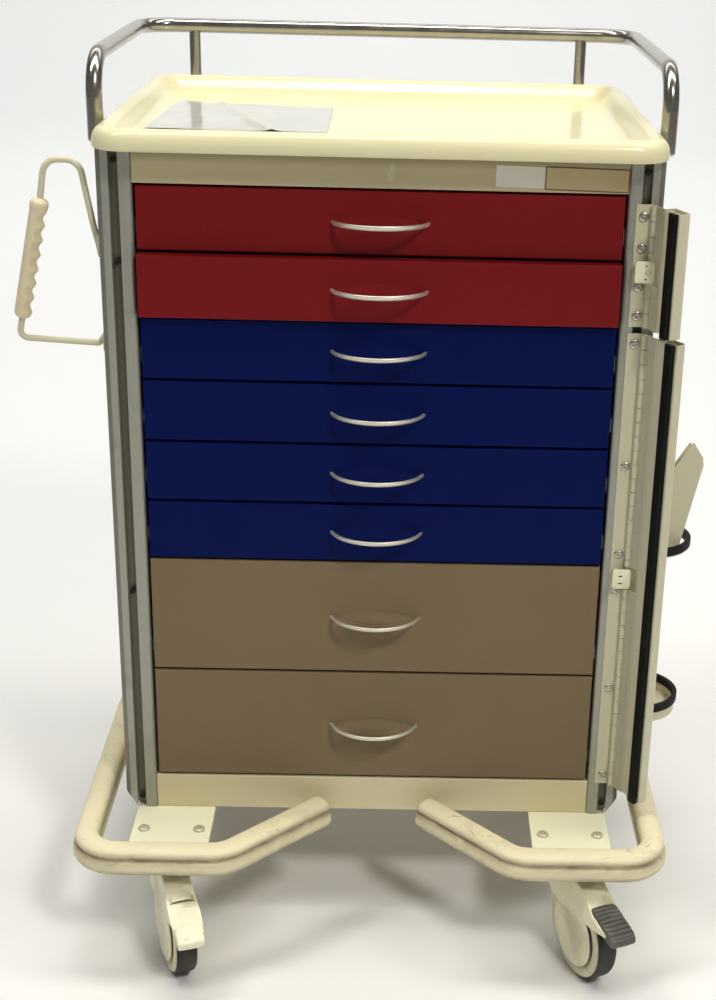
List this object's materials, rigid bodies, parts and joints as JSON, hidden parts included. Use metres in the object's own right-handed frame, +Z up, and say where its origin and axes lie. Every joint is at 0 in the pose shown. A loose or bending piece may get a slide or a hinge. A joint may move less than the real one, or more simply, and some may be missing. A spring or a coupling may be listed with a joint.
{
  "type": "medication cart",
  "caption": "Wheeled medical cart: a cabinet of pull-out drawers with a rimmed top tray, chrome guard rail, side push handle, hinged lock doors and locking swivel casters.",
  "frame": {"origin": "on the floor under the middle of the whole cart, side fittings included", "axes": "+Z up, drawers face -Y, +X to the right of someone facing the drawers"},
  "size_m": [0.86, 0.6914, 1.111],
  "materials": {
    "tray_cream": "gloss moulded",
    "trim_cream": "satin paint",
    "header_tan": "satin paint",
    "panel_grey": "satin paint",
    "post_aluminium": "satin anodised",
    "front_red": "fine textured paint",
    "front_blue": "fine textured paint",
    "front_taupe": "fine textured paint",
    "drawer_steel": "satin paint",
    "pull_nickel": "brushed",
    "rail_chrome": "polished",
    "steel_zinc": "zinc plated",
    "bumper_cream": "scuffed matte",
    "fork_cream": "satin moulded",
    "wheel_grey": "matte",
    "tyre_black": "matte rubber",
    "pedal_grey": "matte ribbed",
    "grip_cream": "matte",
    "strip_black": "matte rubber"
  },
  "bodies": {
    "frame": {"corner_posts": "post_aluminium", "cabinet_panels": "panel_grey", "base_deck": "steel_zinc", "header_panel": "header_tan", "base_panel": "trim_cream", "runner_channels": "steel_zinc", "top_tray": "tray_cream", "guard_rail": "rail_chrome", "hinge_leaves": "trim_cream", "corner_plates": "trim_cream", "bumper_rails": "bumper_cream", "caster_mounts": "steel_zinc", "side_handle_bar": "trim_cream", "side_handle_grip": "grip_cream", "cylinder_holder": "trim_cream", "hoop_trims": "strip_black", "screws": "steel_zinc"},
    "lock_door_upper": {"lock_door_upper": "trim_cream", "lock_strip_upper": "strip_black"},
    "lock_door_lower": {"lock_door_lower": "trim_cream", "lock_strip_lower": "strip_black"},
    "drawer_1": {"drawer_1_front": "front_red", "drawer_1_box": "drawer_steel", "drawer_1_pull": "pull_nickel"},
    "drawer_2": {"drawer_2_front": "front_red", "drawer_2_box": "drawer_steel", "drawer_2_pull": "pull_nickel"},
    "drawer_3": {"drawer_3_front": "front_blue", "drawer_3_box": "drawer_steel", "drawer_3_pull": "pull_nickel"},
    "drawer_4": {"drawer_4_front": "front_blue", "drawer_4_box": "drawer_steel", "drawer_4_pull": "pull_nickel"},
    "drawer_5": {"drawer_5_front": "front_blue", "drawer_5_box": "drawer_steel", "drawer_5_pull": "pull_nickel"},
    "drawer_6": {"drawer_6_front": "front_blue", "drawer_6_box": "drawer_steel", "drawer_6_pull": "pull_nickel"},
    "drawer_7": {"drawer_7_front": "front_taupe", "drawer_7_box": "drawer_steel", "drawer_7_pull": "pull_nickel"},
    "drawer_8": {"drawer_8_front": "front_taupe", "drawer_8_box": "drawer_steel", "drawer_8_pull": "pull_nickel"},
    "caster_front_left": {"caster_fork_front_left": "fork_cream"},
    "wheel_front_left": {"wheel_front_left": "wheel_grey", "tyre_front_left": "tyre_black"},
    "lock_pedal_front_left": {"lock_pedal_front_left": "fork_cream"},
    "caster_front_right": {"caster_fork_front_right": "fork_cream"},
    "wheel_front_right": {"wheel_front_right": "wheel_grey", "tyre_front_right": "tyre_black"},
    "lock_pedal_front_right": {"lock_pedal_front_right": "pedal_grey"},
    "caster_rear_left": {"caster_fork_rear_left": "fork_cream"},
    "wheel_rear_left": {"wheel_rear_left": "wheel_grey", "tyre_rear_left": "tyre_black"},
    "caster_rear_right": {"caster_fork_rear_right": "fork_cream"},
    "wheel_rear_right": {"wheel_rear_right": "wheel_grey", "tyre_rear_right": "tyre_black"}
  },
  "joints": [
    {"name": "drawer_1_slide", "type": "slide", "parent": "frame", "child": "drawer_1", "axis": [0, -1, 0], "range_m": [0, 0.34]},
    {"name": "drawer_2_slide", "type": "slide", "parent": "frame", "child": "drawer_2", "axis": [0, -1, 0], "range_m": [-0.012, 0.328]},
    {"name": "drawer_3_slide", "type": "slide", "parent": "frame", "child": "drawer_3", "axis": [0, -1, 0], "range_m": [0, 0.34]},
    {"name": "drawer_4_slide", "type": "slide", "parent": "frame", "child": "drawer_4", "axis": [0, -1, 0], "range_m": [0, 0.34]},
    {"name": "drawer_5_slide", "type": "slide", "parent": "frame", "child": "drawer_5", "axis": [0, -1, 0], "range_m": [0, 0.34]},
    {"name": "drawer_6_slide", "type": "slide", "parent": "frame", "child": "drawer_6", "axis": [0, -1, 0], "range_m": [0, 0.34]},
    {"name": "drawer_7_slide", "type": "slide", "parent": "frame", "child": "drawer_7", "axis": [0, -1, 0], "range_m": [0, 0.34]},
    {"name": "drawer_8_slide", "type": "slide", "parent": "frame", "child": "drawer_8", "axis": [0, -1, 0], "range_m": [0, 0.34]},
    {"name": "lock_door_upper_hinge", "type": "hinge", "parent": "frame", "child": "lock_door_upper", "pos_m": [0.309, -0.149, 0.89], "axis": [0, 0, 1], "range_deg": [-96, 58]},
    {"name": "lock_door_lower_hinge", "type": "hinge", "parent": "frame", "child": "lock_door_lower", "pos_m": [0.309, -0.149, 0.51], "axis": [0, 0, 1], "range_deg": [-124, 46]},
    {"name": "caster_front_left_swivel", "type": "hinge", "parent": "frame", "child": "caster_front_left", "pos_m": [-0.258, -0.2185, 0.13], "axis": [0, 0, 1], "continuous": true},
    {"name": "wheel_front_left_spin", "type": "hinge", "parent": "caster_front_left", "child": "wheel_front_left", "pos_m": [-0.24469, -0.25409, 0.0625], "axis": [0.9367, 0.3502, 0], "continuous": true},
    {"name": "lock_pedal_front_left_tilt", "type": "hinge", "parent": "caster_front_left", "child": "lock_pedal_front_left", "pos_m": [-0.23524, -0.27938, 0.1242], "axis": [0.9367, 0.3502, 0], "range_deg": [-15, 0]},
    {"name": "caster_front_right_swivel", "type": "hinge", "parent": "frame", "child": "caster_front_right", "pos_m": [0.258, -0.2185, 0.13], "axis": [0, 0, 1], "continuous": true},
    {"name": "wheel_front_right_spin", "type": "hinge", "parent": "caster_front_right", "child": "wheel_front_right", "pos_m": [0.27327, -0.25329, 0.0625], "axis": [0.9157, 0.4019, 0], "continuous": true},
    {"name": "lock_pedal_front_right_tilt", "type": "hinge", "parent": "caster_front_right", "child": "lock_pedal_front_right", "pos_m": [0.28413, -0.27802, 0.1242], "axis": [0.9157, 0.4019, 0], "range_deg": [0, 15]},
    {"name": "caster_rear_left_swivel", "type": "hinge", "parent": "frame", "child": "caster_rear_left", "pos_m": [-0.258, 0.254, 0.13], "axis": [0, 0, 1], "continuous": true},
    {"name": "wheel_rear_left_spin", "type": "hinge", "parent": "caster_rear_left", "child": "wheel_rear_left", "pos_m": [-0.24881, 0.21713, 0.0625], "axis": [0.9703, 0.2419, 0], "continuous": true},
    {"name": "caster_rear_right_swivel", "type": "hinge", "parent": "frame", "child": "caster_rear_right", "pos_m": [0.258, 0.254, 0.13], "axis": [0, 0, 1], "continuous": true},
    {"name": "wheel_rear_right_spin", "type": "hinge", "parent": "caster_rear_right", "child": "wheel_rear_right", "pos_m": [0.271, 0.21829, 0.0625], "axis": [0.9397, 0.342, 0], "continuous": true}
  ]
}
